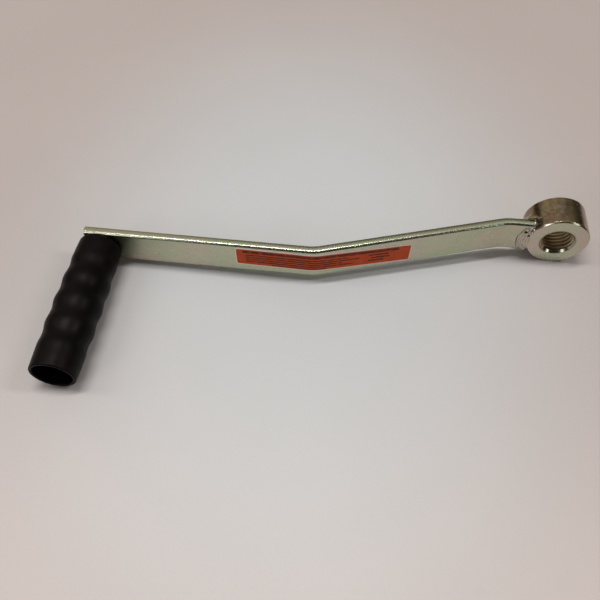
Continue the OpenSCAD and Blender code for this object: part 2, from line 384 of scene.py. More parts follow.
def softened(corners, rounds, spacing=1.6, steps=6, support=0.12):
    # A line through corners, each rounded to its radius, with points no further
    # apart than spacing and one just outside each rounding, to keep the flats flat
    corners = np.array(corners, float)
    out = [corners[0]]
    for before, corner, after, radius in zip(corners, corners[1:], corners[2:], rounds[1:]):
        before, after = before - corner, after - corner
        before, after = before / np.linalg.norm(before), after / np.linalg.norm(after)
        if radius <= 0:
            out.append(corner)
            continue
        half = np.arccos(np.clip(before @ after, -1, 1)) / 2
        run = radius / np.tan(half) + support
        middle = (before + after) / np.linalg.norm(before + after)
        centre = corner + middle * radius / np.sin(half)
        sweep = np.linspace(-1, 1, steps + 1)[:, None] * (np.pi / 2 - half)
        side = after - middle * (middle @ after)
        side /= np.linalg.norm(side)
        arc = centre - radius * (np.cos(sweep) * middle - np.sin(sweep) * side)
        out += [corner + before * run, *arc, corner + after * run]
    out = np.array(out + [corners[-1]])
    dense = [out[:1]]
    for start, stop in zip(out[:-1], out[1:]):
        parts = max(1, int(np.ceil(np.linalg.norm(stop - start) / spacing)))
        dense.append(start + (stop - start) * (np.arange(1, parts + 1) / parts)[:, None])
    return np.concatenate(dense)


def aroundY(radius, along, angle, middle=0.0):
    # a point at a radius and an angle from straight up, about an axis along Y
    return joined(middle + radius * np.sin(angle), along, radius * np.cos(angle))


def walked(line):
    # distance walked along a line of points
    return np.append(0.0, np.cumsum(np.linalg.norm(np.diff(line, axis=0), axis=1)))


def spun(profile, angles, middle=0.0):
    # a profile of radius and Y carried round the axis, and its chart
    place = aroundY(profile[:, :1], profile[:, 1:], angles, middle)
    return place, joined(angles * 15.0, walked(profile)[:, None])


# Metal finishes
plating = {
    "green": (0.528, 0.556, 0.388), "pink": (0.600, 0.534, 0.420), "dull": (0.440, 0.435, 0.308),
    "pit": (0.16, 0.14, 0.10), "shine": (0.23, 0.36), "edgeShine": (0.17, 0.30),
    "edgeTint": (0.89, 0.94, 0.99),
    "streakDepth": (0.00003, 0.000008), "grainDepth": (0.00003, 0.000024),    # on face and rolled edge
    "pitDepth": 0.00008,
    # patterns: scale, detail, roughness, stretch, shift
    "patches": (34.0, 3.0, 0.5, (1.0, 2.2, 1.0)), "streaks": (120.0, 5.0, 0.65, (1.0, 14.0, 1.0)),
    "grain": (1500.0, 3.0, 0.7), "pits": (620.0, 1.0, 0.5, (1.0, 1.0, 1.0), (3.1, 0.4, 1.7)),
    # what counts of each: from one noise value to another, and how much
    "patchesFrom": (0.38, 0.64), "streaksFrom": (0.48, 0.72, 0.0, 0.55),
    "grainFrom": (0.62, 0.74, 0.0, 0.5), "pitsFrom": (0.745, 0.79),
    # painted shade: the face is darker near the grip, standing in for the grip's shadow and its dark
    # reflection
    "wearAndShade": (0.017, 0.034, 0.62, 1.0),     # near and far from the grip's axis, and how dark
}


def zincPlate():
    # Rolled bar under zinc: pale green and pinkish patches a few centimetres long,
    # streaks along the rolling, small dark pits, and painted shade on the face by the grip
    material, shader = finish("zincPlate", Metallic=1.0)
    chart, place, rolledEdge = pieceChart(shader), objectPlace(shader), pieceMark(shader)
    patches = remap(noise(chart, *plating["patches"]), *plating["patchesFrom"], eased=True)
    streaks, grain = noise(chart, *plating["streaks"]), noise(place, *plating["grain"])
    pitted = remap(noise(place, *plating["pits"]), *plating["pitsFrom"])
    tone = blendColor(patches, plating["green"], plating["pink"])
    tone = blendColor(remap(streaks, *plating["streaksFrom"]), tone, plating["dull"])
    tone = blendColor(remap(grain, *plating["grainFrom"]), tone, plating["dull"])
    tone = blendColor(pitted, tone, plating["pit"])
    tone = blendColor(rolledEdge, tone, plating["edgeTint"], "MULTIPLY")
    # painted shade by the grip, on the face but not on the rolled edge
    fromGrip = lengthOf(mapped(place, (-joint["x"] * mm, 0.0, 0.0), (1.0, 0.0, 1.0)))
    wearAndShade = blendFloat(rolledEdge, remap(fromGrip, *plating["wearAndShade"], eased=True), 1.0)
    shine = spread(noise(place, 260.0, 4.0, 0.6), *plating["shine"])
    shine = plus(shine, remap(streaks, 0.4, 0.75, 0.0, 0.10))
    shine = plus(shine, times(pitted, 0.3))
    shine = blendFloat(rolledEdge, shine, remap(grain, 0.35, 0.65, *plating["edgeShine"]))
    rolled = bumped(streaks, remap(rolledEdge, 0.0, 1.0, *plating["streakDepth"]), 0.6)
    depth = remap(rolledEdge, 0.0, 1.0, *plating["grainDepth"])
    fine = bumped(noise(place, 1600.0, 3.0, 0.7), depth, 0.7, rolled)
    dents = bumped(oneLess(pitted), plating["pitDepth"], 0.8, fine)
    feed(shader, Base_Color=scaled(tone, wearAndShade), Roughness=shine, Normal=dents)
    return material


hubTone = {
    "green": (0.555, 0.588, 0.442), "pink": (0.610, 0.538, 0.458), "brown": (0.232, 0.122, 0.084),
    "olive": (0.400, 0.318, 0.150), "grey": (0.365, 0.345, 0.285), "bore": (0.465, 0.367, 0.238),
    # the second countersink tone is painted shade for its left side
    "sunk": (0.330, 0.330, 0.245), "sunkPaintedShade": (0.130, 0.135, 0.090),
    "rimFrom": (0.0197, 0.0201), "boreFrom": (0.0115, 0.0112),    # distances from the axis
    # painted reflection: a dark band down the hub's left side, from one X to another
    "paintedDarkReflection": (-0.0195, -0.0183, -0.0164, -0.0148, 0.70),     # X from start to end, and how deep
    # ramps from one X to another: pinker beside the weld, olive opposite, painted shade on the countersink's
    # left
    "pinkBeside": (-0.004, -0.016, 0.0, 0.22), "oliveOpposite": (0.010, 0.0165, 0.0, 0.75),
    "sunkShadeFrom": (-0.0072, -0.0092),
    "faceShine": (0.24, 0.34), "rimShine": (0.16, 0.28), "burnish": 0.25,
    "boreShine": 0.33, "sunkShine": 0.19,
    "grainDepth": (0.00002, 0.000008),       # on face and chamfer
    "ringDepth": 0.000004, "ringWobble": 0.0006,
    # patterns: scale, detail, roughness, stretch, shift
    "tint": (70.0, 2.0, 0.5), "patches": (150.0, 4.0, 0.6, (1.0, 0.30, 1.0), (0.7, 0.0, 0.3)),
    "mottle": (420.0, 5.0, 0.7), "clouds": (300.0, 4.0, 0.6), "toolMarks": 14000.0,
    # what counts of each: from one noise value to another, and how much
    "tintFrom": (0.44, 0.66), "patchesFrom": (0.42, 0.58), "mottleFrom": (0.45, 0.66, 0.0, 0.9),
}


def hubSteel():
    # Turned steel under zinc: rings from the tool on its faces, a faint rainbow tint,
    # brown and olive mottling round its rim, burnished chamfers, a dull bore. Its mark
    # is 1 on the chamfer and -1 in the countersinks.
    material, shader = finish("hubSteel", Metallic=1.0)
    place, mark = objectPlace(shader), pieceMark(shader)
    burnished, sunk = remap(mark, 0.0, 1.0), remap(mark, 0.0, -1.0)
    parts = addNode(place, "SeparateXYZ", {0: place}).outputs
    x, z = parts["X"], parts["Z"]
    out = calc("SQRT", plus(times(x, x), times(z, z)))
    rim = remap(out, *hubTone["rimFrom"], eased=True)
    bore = times(remap(out, *hubTone["boreFrom"]), oneLess(sunk))
    beside = remap(x, *hubTone["pinkBeside"], eased=True)
    tint = remap(plus(noise(place, *hubTone["tint"]), beside), *hubTone["tintFrom"], eased=True)
    tone = blendColor(tint, hubTone["green"], hubTone["pink"])
    patches = remap(noise(place, *hubTone["patches"]), *hubTone["patchesFrom"])
    rimTone = blendColor(patches, hubTone["brown"], hubTone["olive"])
    mottle = remap(noise(place, *hubTone["mottle"]), *hubTone["mottleFrom"])
    rimTone = blendColor(mottle, rimTone, hubTone["grey"])
    opposite = remap(x, *hubTone["oliveOpposite"], eased=True)
    rimTone = blendColor(opposite, rimTone, hubTone["olive"])
    tone = blendColor(times(rim, 0.9), tone, rimTone)
    # painted reflection: a dark band on the rim's left side, above a height
    start, full, past, gone, depth = hubTone["paintedDarkReflection"]
    paintedDarkReflection = times(remap(x, start, full, eased=True), remap(x, gone, past, eased=True))
    paintedDarkReflection = times(paintedDarkReflection, remap(z, 0.006, 0.009, 0.0, depth))
    tone = blendColor(times(paintedDarkReflection, rim), tone, hubTone["brown"])
    tone = blendColor(bore, tone, hubTone["bore"])
    # painted shade: the countersink is darker towards its left, where it would reflect the lit floor
    sunkShaded = remap(x, *hubTone["sunkShadeFrom"], eased=True)
    tone = blendColor(sunk, tone, blendColor(sunkShaded, hubTone["sunk"], hubTone["sunkPaintedShade"]))
    clouds = noise(place, *hubTone["clouds"])
    faceShine, rimShine = (spread(clouds, *hubTone[part]) for part in ("faceShine", "rimShine"))
    shine = blendFloat(rim, faceShine, rimShine)
    for part, name in ((bore, "boreShine"), (sunk, "sunkShine"), (burnished, "burnish")):
        shine = blendFloat(part, shine, hubTone[name])
    depth = remap(burnished, 0.0, 1.0, *hubTone["grainDepth"])
    fine = bumped(noise(place, 1000.0, 4.0, 0.6), depth, 0.8)
    wobble = times(noise(place, 90.0, 2.0), hubTone["ringWobble"])
    rings = calc("SINE", times(plus(out, wobble), hubTone["toolMarks"]))
    flatPart = oneLess(calc("MAXIMUM", rim, calc("ABSOLUTE", mark)))
    turned = bumped(times(rings, flatPart), hubTone["ringDepth"], 0.8, fine)
    feed(shader, Base_Color=tone, Roughness=shine, Normal=turned)
    return material


weldTones = {
    "weldMetal": {"clean": (0.572, 0.528, 0.436), "warm": (0.616, 0.528, 0.458),
                  "sootAndShade": (0.014, 0.011, 0.008)},
    "weldMetalOlive": {"clean": (0.450, 0.430, 0.300), "warm": (0.410, 0.340, 0.245),
                       "sootAndShade": (0.035, 0.024, 0.014)},
}


def weldMetal(name, tones):
    # Plated weld: greyish pink or olive, black where its pits and crevices are deep,
    # which is where its mark is high: soot in the pits, painted shade in the rest
    material, shader = finish(name, Metallic=1.0)
    place, grimeAndShade = objectPlace(shader), pieceMark(shader)
    tone = blendColor(remap(noise(place, 240.0), 0.38, 0.62, eased=True), tones["clean"], tones["warm"])
    broken = plus(grimeAndShade, spread(noise(place, 1100.0), -0.22, 0.22))
    # the black is soot in the pits and painted shade in crevices, troughs and along rims
    sootAndShadeMix = remap(broken, 0.3, 0.62, eased=True)
    tone = blendColor(sootAndShadeMix, tone, tones["sootAndShade"])
    shine = plus(spread(noise(place, 500.0), 0.28, 0.44), times(sootAndShadeMix, 0.35))
    fine = bumped(noise(place, 1300.0, 4.0, 0.65), 0.00005, 0.8)
    feed(shader, Base_Color=tone, Roughness=shine, Normal=fine)
    return material


spindleTone = {"bright": (0.550, 0.550, 0.480), "dull": (0.42, 0.40, 0.33), "shine": (0.24, 0.42)}


def spindleSteel():
    # Cold headed steel under zinc, with rubbed streaks round it
    material, shader = finish("spindleSteel", Metallic=1.0)
    place = objectPlace(shader)
    worn = remap(noise(place, 350.0, 4.0, 0.6), 0.4, 0.7, 0.0, 0.8)
    shine = spread(noise(place, 700.0), *spindleTone["shine"])
    wearAndShade = noise(place, 300.0, 3.0, 0.6, (1.0, 9.0, 1.0))
    feed(shader, Base_Color=blendColor(worn, spindleTone["bright"], spindleTone["dull"]), Roughness=shine,
         Normal=bumped(wearAndShade, 0.00003, 0.7))
    return material


# Arm
bar = {
    "width": 25.4, "thickness": 6.0,
    # the rolled edge from its top's middle to the face: arc radius, tilt at start and end, steps
    "edgeArcs": ((9.2, 0, 10.5, 5), (1.3, 10.5, 36, 6), (2.4, 36, 68, 8), (0.35, 68, 90, 3)),
    "hubToInnerKnee": 36.2, "hubToOuterKnee": 161.6, "kneeRadius": 30.0,
    "setOut": 39.5, "reach": 304.8, "pastGrip": 9.3, "ruler": (0, 400, 80001),
    "firstStation": 21.5, "stationEvery": 0.7,     # the sections along the bar
    "copedRun": (17.5, 20.0), "hubSink": 0.5,      # the coped end, and how far it runs into the hub
    "endBevel": 0.35, "bevelRows": 6,
    # dents: height, size and seed, and what X is multiplied by before, which draws them out
    "edgeDents": (0.005, 3.4, 11), "faceDents": (0.02, 9.0, 12), "drawnOut": (0.35, 0.2),
    # each ramp's start and run: of the edge's dents, up and across, and of its finish
    "edgeAt": (10.6, 0.8), "crownTo": (0.5, 1.6), "markFrom": (11.0, 0.3),
}
# where the grip's axis meets the bar's face
joint = {"x": -bar["reach"], "front": -bar["setOut"] - bar["thickness"] / 2}


def barLine():
    # The bar's middle line in plan: the running sum of its heading, which turns by
    # the knee angle round the inner knee and back round the outer one. Gives a ruler
    # of distances, the line's X, Y and heading there, and where the outer knee is.
    slanted = bar["hubToOuterKnee"] - bar["hubToInnerKnee"]
    kneeAngle = np.arctan(bar["setOut"] / slanted)
    tangent = bar["kneeRadius"] * np.tan(kneeAngle / 2)
    arc = bar["kneeRadius"] * kneeAngle
    firstKnee = bar["hubToInnerKnee"] - tangent
    secondKnee = firstKnee + arc + np.hypot(bar["setOut"], slanted) - 2 * tangent
    ruler, step = np.linspace(*bar["ruler"], retstep=True)
    turned = [np.clip((ruler - knee) / arc, 0, 1) for knee in (firstKnee, secondKnee)]
    turn = kneeAngle * (turned[0] - turned[1])
    middle = (turn[1:] + turn[:-1]) / 2
    x, y = (-np.append(0, np.cumsum(part)) * step for part in (np.cos(middle), np.sin(middle)))
    return ruler, x, y, turn, secondKnee + arc / 2


ruler, lineX, lineY, lineTurn, outerKneeAt = barLine()


def onBar(distance, out, up):
    # a point at a distance along the bar, so far in front of its middle line and up
    x, y, turn = (np.interp(distance, ruler, line) for line in (lineX, lineY, lineTurn))
    return joined(x + out * np.sin(turn), y - out * np.cos(turn), up)


def barSection():
    # A quarter of the outline, mirrored: from the top's middle, arcs of falling
    # radius bend the edge down into the flat face
    half = bar["thickness"] / 2
    line = np.array([[0.0, bar["width"] / 2]])
    for radius, start, stop, steps in bar["edgeArcs"]:
        turn = np.radians(np.linspace(start, stop, steps + 1))
        arc = radius * joined(np.sin(turn), np.cos(turn))
        line = np.concatenate([line, line[-1] + arc[1:] - arc[0]])
    line[:, 0] *= half / line[-1, 0]
    face = joined(half, np.append(np.linspace(0, line[-1, 1] - 0.5, 9), line[-1, 1] - 0.12))
    quarter = np.concatenate([face, line[::-1]])
    mirrored = quarter[-2::-1]
    return np.concatenate([quarter, mirrored * [-1, 1], quarter[1:] * [-1, -1], mirrored * [1, -1]])


def makeArm():
    # The section carried along the line. At the hub it is coped to the hub's circle
    # and closed over, and at the other end its last rows draw in for a small bevel.
    section = barSection()
    across, height = section.T
    end = np.interp(bar["reach"] + bar["pastGrip"], -lineX, ruler)
    bevel = bar["endBevel"]
    count = int((end - bar["firstStation"] - 0.5) / bar["stationEvery"])
    stations = np.append(np.linspace(bar["firstStation"], end - bevel - 0.2, count),
                         end - bevel * (1 - np.sin(np.linspace(0, np.pi / 2, bar["bevelRows"]))))
    drawIn = bevel * (1 - np.sqrt(1 - ((stations - end + bevel) / bevel).clip(0, 1) ** 2))
    half = np.array([bar["thickness"], bar["width"]]) / 2
    shape = section * (1 - drawIn[:, None, None] / half)
    place = onBar(stations[:, None], shape[..., 0], shape[..., 1])
    rolled = ramp(np.abs(height), *bar["edgeAt"]) * ramp(np.abs(across), *bar["crownTo"])
    edgeDents, faceDents = (dented(place * [squeeze, 1, 1], bar[name]) for name, squeeze in
                            zip(("edgeDents", "faceDents"), bar["drawnOut"]))
    push = edgeDents * rolled + faceDents
    shape *= 1 + push[..., None] / half * smooth((end - stations) / 3)[:, None, None]
    place = onBar(stations[:, None], shape[..., 0], shape[..., 1])
    coped = joined(bar["hubSink"] - np.sqrt(hub["radius"] ** 2 - height ** 2), -across, height)
    endCap = joined(place[-1, 0, 0], -bar["setOut"], place[-1, :, 2])
    place = np.concatenate([[coped * [1, 0, 1]], [coped], place, [endCap]])
    run = np.concatenate([bar["copedRun"], stations, [end + 3]])
    mark = ramp(np.abs(height), *bar["markFrom"])
    buildPiece("arm_bar", "arm", zincPlated,
               [(place, joined(run[:, None], walked(section)), mark)], 32.0)


# Hub
hub = {
    "radius": 20.25, "front": -4.9, "back": 17.6, "chamfer": 0.8, "backChamfer": 0.3,
    "minorRadius": 9.7, "majorRadius": 11.11, "pitch": 2.822, "crestShare": 0.6, "mouthRadius": 11.3,
    "turnSteps": 208, "threadSteps": (5, 7, 4, 7),     # round a turn, and across each part of a thread
    "dents": ((0.018, 5.0, 21), (0.0072, 1.8, 22)),
    "rounds": (0, 0.25, 0.45, 0.2, 0.15, 0),     # at the corners of its outside, front to back
}


def threadForm():
    # One pitch of the thread: where its crest, 60 degree flank, root and other flank
    # begin and end, and the radius there
    flank = (hub["majorRadius"] - hub["minorRadius"]) * np.tan(np.radians(30))
    crest = (hub["pitch"] - 2 * flank) * hub["crestShare"]
    low, high = hub["minorRadius"], hub["majorRadius"]
    return [0, crest, crest + flank, hub["pitch"] - flank, hub["pitch"]], [low, low, high, high, low]


def makeHub():
    # The outside is a profile spun about Y. The bore is a strip, one thread wide,
    # wound along a right-hand helix: Y grows by a pitch each turn. Its radius is the
    # thread's, or the 45 degree countersink's where that is wider.
    rim, front, back, mouth, pitch, steps = (
        hub[key] for key in ("radius", "front", "back", "mouthRadius", "pitch", "turnSteps"))
    bevel, backBevel = hub["chamfer"], hub["backChamfer"]
    outside = softened([(mouth, front), (rim - bevel, front), (rim, front + bevel), (rim, back - backBevel),
                        (rim - backBevel, back), (mouth, back)], hub["rounds"], 1.2, 7, 0.08)
    place, chart = spun(outside, np.arange(steps + 1) * circle / steps)
    inner = ramp(np.hypot(place[..., 0], place[..., 2]), mouth, 1.5)
    place = place * (1 + (dented(place, *hub["dents"]) * inner / rim)[..., None] * [1, 0, 1])
    behind = ramp(outside[:, 1], front + bevel + 0.1, 0.15)
    chamfered = ramp(outside[:, 0], rim - bevel - 0.1, 0.15) * (1 - behind)
    turns = int(np.ceil((back - front) / pitch)) + 2
    wound = np.arange(turns * steps + 1) * circle / steps
    at, radii = threadForm()
    across = np.unique(np.concatenate(
        [np.linspace(*part) for part in zip(at, at[1:], hub["threadSteps"])]))[:, None]
    y = front - 1.2 * pitch + pitch * wound / circle + across
    inside = y.clip(front, back)
    cone = mouth - np.minimum(inside - front, back - inside)
    thread = np.interp(across, at, radii)
    radius = np.where((y <= front) | (y >= back), mouth, np.maximum(thread, cone))
    buildPiece("hub_ring", "hub", hubPlated,
               [(place, chart, chamfered[:, None]),
                (aroundY(radius, inside, wound), joined(wound * 10, across), (cone >= thread) * -1.0)], 28.0)


# Welds
puddle = {
    # an arc about the hub's axis: radius, its middle and half span in degrees up from
    # -X, its reach inwards and outwards, and how the outer reach leans and bulges
    "radius": 22.6, "middle": -3.8, "halfSpan": 36.5, "inner": 4.1, "outer": 3.7, "lean": 1.7,
    "bulge": (0.9, 0.35), "blunt": 0.55, "around": 161, "rings": (46, 14),
    # its outline's waves: how many, height, start
    "wander": ((3, 0.04, 0.7), (5, 0.025, 2.1), (9, 0.02, 0.0)),
    "level": 4.25, "fall": 2.2, "sunk": 0.12, "foot": 0.9, "height": 0.9, "steepness": 0.42,
    "barEdge": (11.2, 1.8, 1.5),             # where it rolls off: from, run, how deep
    "ripple": 0.34, "rippleEvery": 1.6, "crater": (22.6, -9.0),
    "dents": ((0.10, 3.2, 32), (0.03, 1.1, 33)),
    # pits: x, z, half width, half height, depth
    "pits": ((-22.4, 6.6, 1.1, 0.7, 1.2), (-20.3, 4.1, 0.95, 0.6, 1.0), (-21.4, 10.4, 1.5, 0.8, 2.0),
             (-19.9, 11.6, 1.4, 0.9, 2.0), (-18.5, 8.1, 0.6, 0.6, 1.0), (-21.0, 8.3, 1.4, 0.5, -0.6)),
    # black in its deeper pits as soot, and painted shade in its ripples' troughs and along its rim off the
    # hub
    "blackPitFrom": 0.75, "sootAndShade": 0.60,         # the depth of pit that is black, and its crevices
}


def makeFrontWeld():
    # A low mound along an arc, from the bar's face onto the hub's. Its height falls
    # from the middle to the rim as a power of one less the square of the distance.
    # Its upper end is blunter, as a superellipse's is. It has ripples nested about a
    # line up from the crater, unevenness and bell-shaped pits; its foot is sunk in.
    alpha = np.linspace(0, circle, puddle["around"])
    inside, atRim = puddle["rings"]
    rho = np.append(np.linspace(0, 0.9, inside), np.linspace(0.91, 1.0, atRim))[:, None]
    wander = 1 + sum(size * np.sin(count * alpha + start) for count, size, start in puddle["wander"])
    across, up = np.cos(alpha), np.sin(alpha)
    bulge, width = puddle["bulge"]
    outer = puddle["outer"] - puddle["lean"] * up + bulge * np.exp(-(up / width) ** 2)
    across = np.sign(across) * np.abs(across) ** np.where(up > 0, puddle["blunt"], 1.0)
    inward = across * np.where(across > 0, puddle["inner"], outer) * wander
    radius = puddle["radius"] - rho * inward
    theta = np.radians(puddle["middle"] + rho * puddle["halfSpan"] * up * wander)
    x, z = -radius * np.cos(theta), radius * np.sin(theta)
    onHub = smooth((hub["radius"] + 0.6 - radius[-1]) / 1.5)
    half = bar["thickness"] / 2
    edgeFrom, edgeRun, edgeDeep = puddle["barEdge"]
    rolledOff = edgeDeep * ramp(np.abs(z[-1]), edgeFrom, edgeRun) * (1 - onHub)
    rim = half - (half + hub["front"]) * onHub - rolledOff - puddle["sunk"]
    level = puddle["level"] + (rim - puddle["level"]) * rho ** puddle["fall"]
    dome = puddle["height"] * (1 - rho ** 2) ** puddle["steepness"]
    flat = joined(x, 0.0, z)
    along = (theta - np.radians(puddle["crater"][1])) * puddle["radius"]
    fromSpine = np.hypot(radius - puddle["crater"][0], along.clip(None, 0))
    fade = smooth((1 - rho) / 0.25)
    wobble = dented(flat, (0.4, 5.0, 31))
    ripples = np.abs(np.sin(np.pi * fromSpine / puddle["rippleEvery"] + wobble))
    height = level + dome + puddle["ripple"] * (ripples - 0.6) * fade + dented(flat, *puddle["dents"]) * fade
    # painted shade: dark ripple troughs, and a dark line round the rim where it stands off the hub
    crevice = (1 - ripples) ** 3 * fade + ramp(rho, 0.93, 0.07) * smooth((0.5 - onHub) / 0.5)
    grimeAndShade = puddle["sootAndShade"] * crevice
    for px, pz, wide, high, depth in puddle["pits"]:
        pit, size = (px, 0, pz), np.array([wide, 1.0, high])
        height = height - depth * blob(flat, pit, size)
        grimeAndShade = grimeAndShade + (depth > puddle["blackPitFrom"]) * blob(flat, pit, 1.1 * size)
    height = np.maximum(height, level - 0.6)
    foot = joined(x[-1], puddle["foot"] - rim, z[-1])
    under = joined(np.full_like(rim, x[0, 0]), 0.8 - half, z[0, 0])
    place = np.concatenate([joined(x, -height, z), [foot], [under]])
    marks = np.concatenate([grimeAndShade, grimeAndShade[-1:], grimeAndShade[-1:]])
    buildPiece("weld_puddle", "weld_front", weldPlated, [(place, place[..., ::2], marks)], 50)


beads = {
    # the outline of the section in the corner of the bar's edge and the hub, as X and Z:
    # from inside the bar, over the toe and up the hub's side, to inside the hub
    "section": ((-18.6, 12.0), (-18.5, 12.55), (-18.3, 12.85), (-17.9, 12.98), (-17.2, 13.12),
                (-16.5, 13.42), (-15.9, 13.82), (-15.3, 14.28), (-14.8, 14.62), (-14.3, 14.75),
                (-13.9, 14.6), (-13.7, 14.2)),
    "middle": (-16.0, 12.0), "back": 4.8, "rows": 81, "columns": 61,
    "drop": 1.3, "lump": (0.04, 2.4), "toe": (0.30, 0.95),     # height and size
    # node, up or down, seed, where it stops in front, and how dark it is there, which is painted shade
    "weld_bead_top": ("weld_top", 1, 51, -3.7, 0.66),
    "weld_bead_under": ("weld_bottom", -1, 61, -2.6, 0.25),
}


def makeEdgeBead(name):
    # A fillet in the corner between the bar's edge and the hub's side: its section is
    # carried along Y, sinks where the bar's edge rolls off, crumbles at its toe on
    # the bar, and draws in to a point at both ends as a root of one less a power
    node, side, seed, front, sootAndShadeLevel = beads[name]
    section = np.array(beads["section"])
    run = walked(section)
    fine = np.linspace(0, run[-1], beads["columns"])
    kernel = np.hanning(7)[1:-1] / np.hanning(7).sum()      # a short average rounds the corners
    section = np.stack([np.convolve(np.pad(np.interp(fine, run, part), 2, mode="edge"), kernel, "valid")
                        for part in section.T], -1)
    middle = np.array(beads["middle"])
    share = np.linspace(0, 1, beads["rows"])[:, None]
    y = front + (beads["back"] - front) * share
    size = np.sqrt((1 - np.abs(2 * share - 1) ** 6).clip(0))
    drop = beads["drop"] * ramp(np.abs(y), 1.9, 1.6)
    shape = middle + (section - middle) * size[..., None]
    shape[..., 1] -= drop * ramp(-section[:, 0], 14.5, 3)
    place = joined(shape[..., 0], y, shape[..., 1])
    away = shape - middle
    away /= np.linalg.norm(away, axis=-1, keepdims=True) + 1e-9
    toe = ramp(-section[:, 0], 17.2, 0.6) * size
    crumbs = unevenness(place, beads["toe"][1], seed + 2)
    push = dented(place, (*beads["lump"], seed)) * size + beads["toe"][0] * crumbs * toe
    place[..., 0] += push * away[..., 0]
    place[..., 2] = side * (place[..., 2] + push * away[..., 1])
    inner = joined(middle[0], y, side * middle[1])
    place = np.concatenate([inner, place, inner], 1)
    place[[0, -1]] = inner[[0, -1]] - np.array([0, 0, side * drop[0, 0] / 2])
    # painted shade: darker in the crumbs' hollows at the toe, dark over the rest for its dark reflection,
    # less so towards the back
    grimeAndShade = ramp(-crumbs, -0.25, 0.6) * toe + sootAndShadeLevel * (1 - toe)
    grimeAndShade = np.pad(grimeAndShade * (1 - 0.75 * ramp(y, 1.5, 2.0)), ((0, 0), (1, 1)), mode="edge")
    chart = joined(y, np.arange(place.shape[1]) * 0.2)
    buildPiece(name, node, weldOlive, [(place, chart, grimeAndShade)], 60)


fillet = {
    "leg": 5.6, "halfSpan": 13.3, "rows": 151, "columns": 33, "ripple": 0.20, "rippleEvery": 1.5,
    # soot: how dark it is painted, and how much darker in its ripples' troughs, as painted shade
    "bow": 1.6, "wobble": (0.5, 4.0, 41), "dents": (0.05, 5.0, 42), "sootAndShade": (0.15, 0.25),
}


def makeBackWeld():
    # A bead up the corner between the bar's back and the hub: a quarter round of the
    # leg's radius, with bowed ripples, which keeps its size until just before its ends
    up = np.sin(np.linspace(-np.pi / 2, np.pi / 2, fillet["rows"])) * fillet["halfSpan"]
    taper = np.sqrt((1 - (np.abs(up) / fillet["halfSpan"]) ** 8).clip(0))[:, None]
    beta = np.linspace(0, np.pi / 2, fillet["columns"])
    cornerX = -np.sqrt(hub["radius"] ** 2 - up ** 2)
    outward = joined(cornerX, 0.0, up)[:, None] / hub["radius"]
    backward = np.array([0, 1.0, 0])
    corner = joined(cornerX, bar["thickness"] / 2, up)[:, None]

    def rounded(size):
        return corner + size * (np.cos(beta)[:, None] * outward + np.sin(beta)[:, None] * backward)

    flat = rounded(fillet["leg"])
    bow = up[:, None] + fillet["bow"] * np.cos(2 * beta - np.pi / 2) ** 2
    wave = np.abs(np.sin(np.pi * bow / fillet["rippleEvery"] + dented(flat, fillet["wobble"]))) - 0.6
    wide = taper * (fillet["leg"] * (1 + dented(flat, fillet["dents"])) + fillet["ripple"] * wave)
    place = rounded(wide[..., None])
    inside = corner - 0.6 * (outward + backward)
    place = np.concatenate([inside, place[:, :1] - 0.6 * backward, place, place[:, -1:] - 0.6 * outward,
                            inside], 1)
    place[[0, -1]] = (corner - 0.3 * (outward + backward))[[0, -1]]
    chart = joined(up[:, None], np.arange(place.shape[1]) * 0.25)
    clean, sootAndShadeLevel = fillet["sootAndShade"]
    # painted shade: darker in the troughs of its ripples
    grimeAndShade = np.pad(clean + sootAndShadeLevel * ramp(-wave, 0.35, 0.5), ((0, 0), (2, 2)), mode="edge")
    buildPiece("weld_fillet", "weld_back", weldOlive, [(place, chart, grimeAndShade)], 50)


# Label
film = {
    "towardGrip": 51.7, "towardHub": 65.6, "height": 16.4,
    "gripUp": 2.4, "kneeUp": 1.4, "hubUp": -1.8,         # its middle line at its ends and the knee
    "cornerRound": 2.4, "thickness": 0.2, "border": 0.82, "sunk": 0.08,
    "wave": (0.02, 16.0, 71), "edgeDrop": 0.06, "rows": 170, "cornerRows": 9, "columns": 33,
    "red": (0.630, 0.082, 0.012), "deep": (0.520, 0.064, 0.010), "pale": (0.98, 0.84, 0.76),
    "ink": (0.085, 0.015, 0.005), "roughness": (0.36, 0.48), "specular": 0.15,
    # ruled lines: middle height, half height, start and end, in millimetres on the label
    "rules": ((5.2, 1.25, -47, 57), (2.0, 0.60, -45, 22), (-0.1, 0.60, -45, 30), (-2.2, 0.60, -45, 18),
              (-4.3, 0.60, -45, 26), (-6.3, 0.50, -28, 8), (1.8, 0.80, 36, 50), (-1.0, 0.80, 38, 51),
              (-3.8, 0.80, 36, 47)),
}


def labelFilm():
    # Printed film: a pale cut edge, an orange-red field that is a little deeper in soft
    # clouds, and plain ruled lines that are broken into dashes
    material, shader = finish("labelFilm", Specular_IOR_Level=film["specular"])
    chart, edge = pieceChart(shader), pieceMark(shader)
    along, up = addNode(chart, "SeparateXYZ", {0: chart}).outputs[:2]

    def within(value, middle, half, low, high):
        # one inside a half width of the middle, none outside, with a soft step between
        away = calc("ABSOLUTE", calc("SUBTRACT", value, middle * mm))
        return remap(away, (half + high) * mm, (half - low) * mm)

    inked = None
    for middle, half, start, stop in film["rules"]:
        line = times(within(up, middle, half, 0.16, 0.16),
                     within(along, (start + stop) / 2, (stop - start) / 2, 0.3, 0.0))
        inked = calc("MAXIMUM", inked, line) if inked else line
    dashes = noise(chart, 300.0, 1.5, 0.5, (1.0, 5.0, 1.0))
    inked = times(inked, remap(dashes, 0.36, 0.46, 0.25, 0.95))
    cloud = remap(noise(chart, 160.0), 0.35, 0.68, 0.0, 0.7, eased=True)
    tone = blendColor(inked, blendColor(cloud, film["red"], film["deep"]), film["ink"])
    tone = blendColor(edge, tone, film["pale"])
    rough = spread(noise(chart, 700.0), *film["roughness"])
    feed(shader, Base_Color=tone, Roughness=rough, Normal=bumped(noise(chart, 120.0), 0.00012, 0.5))
    return material


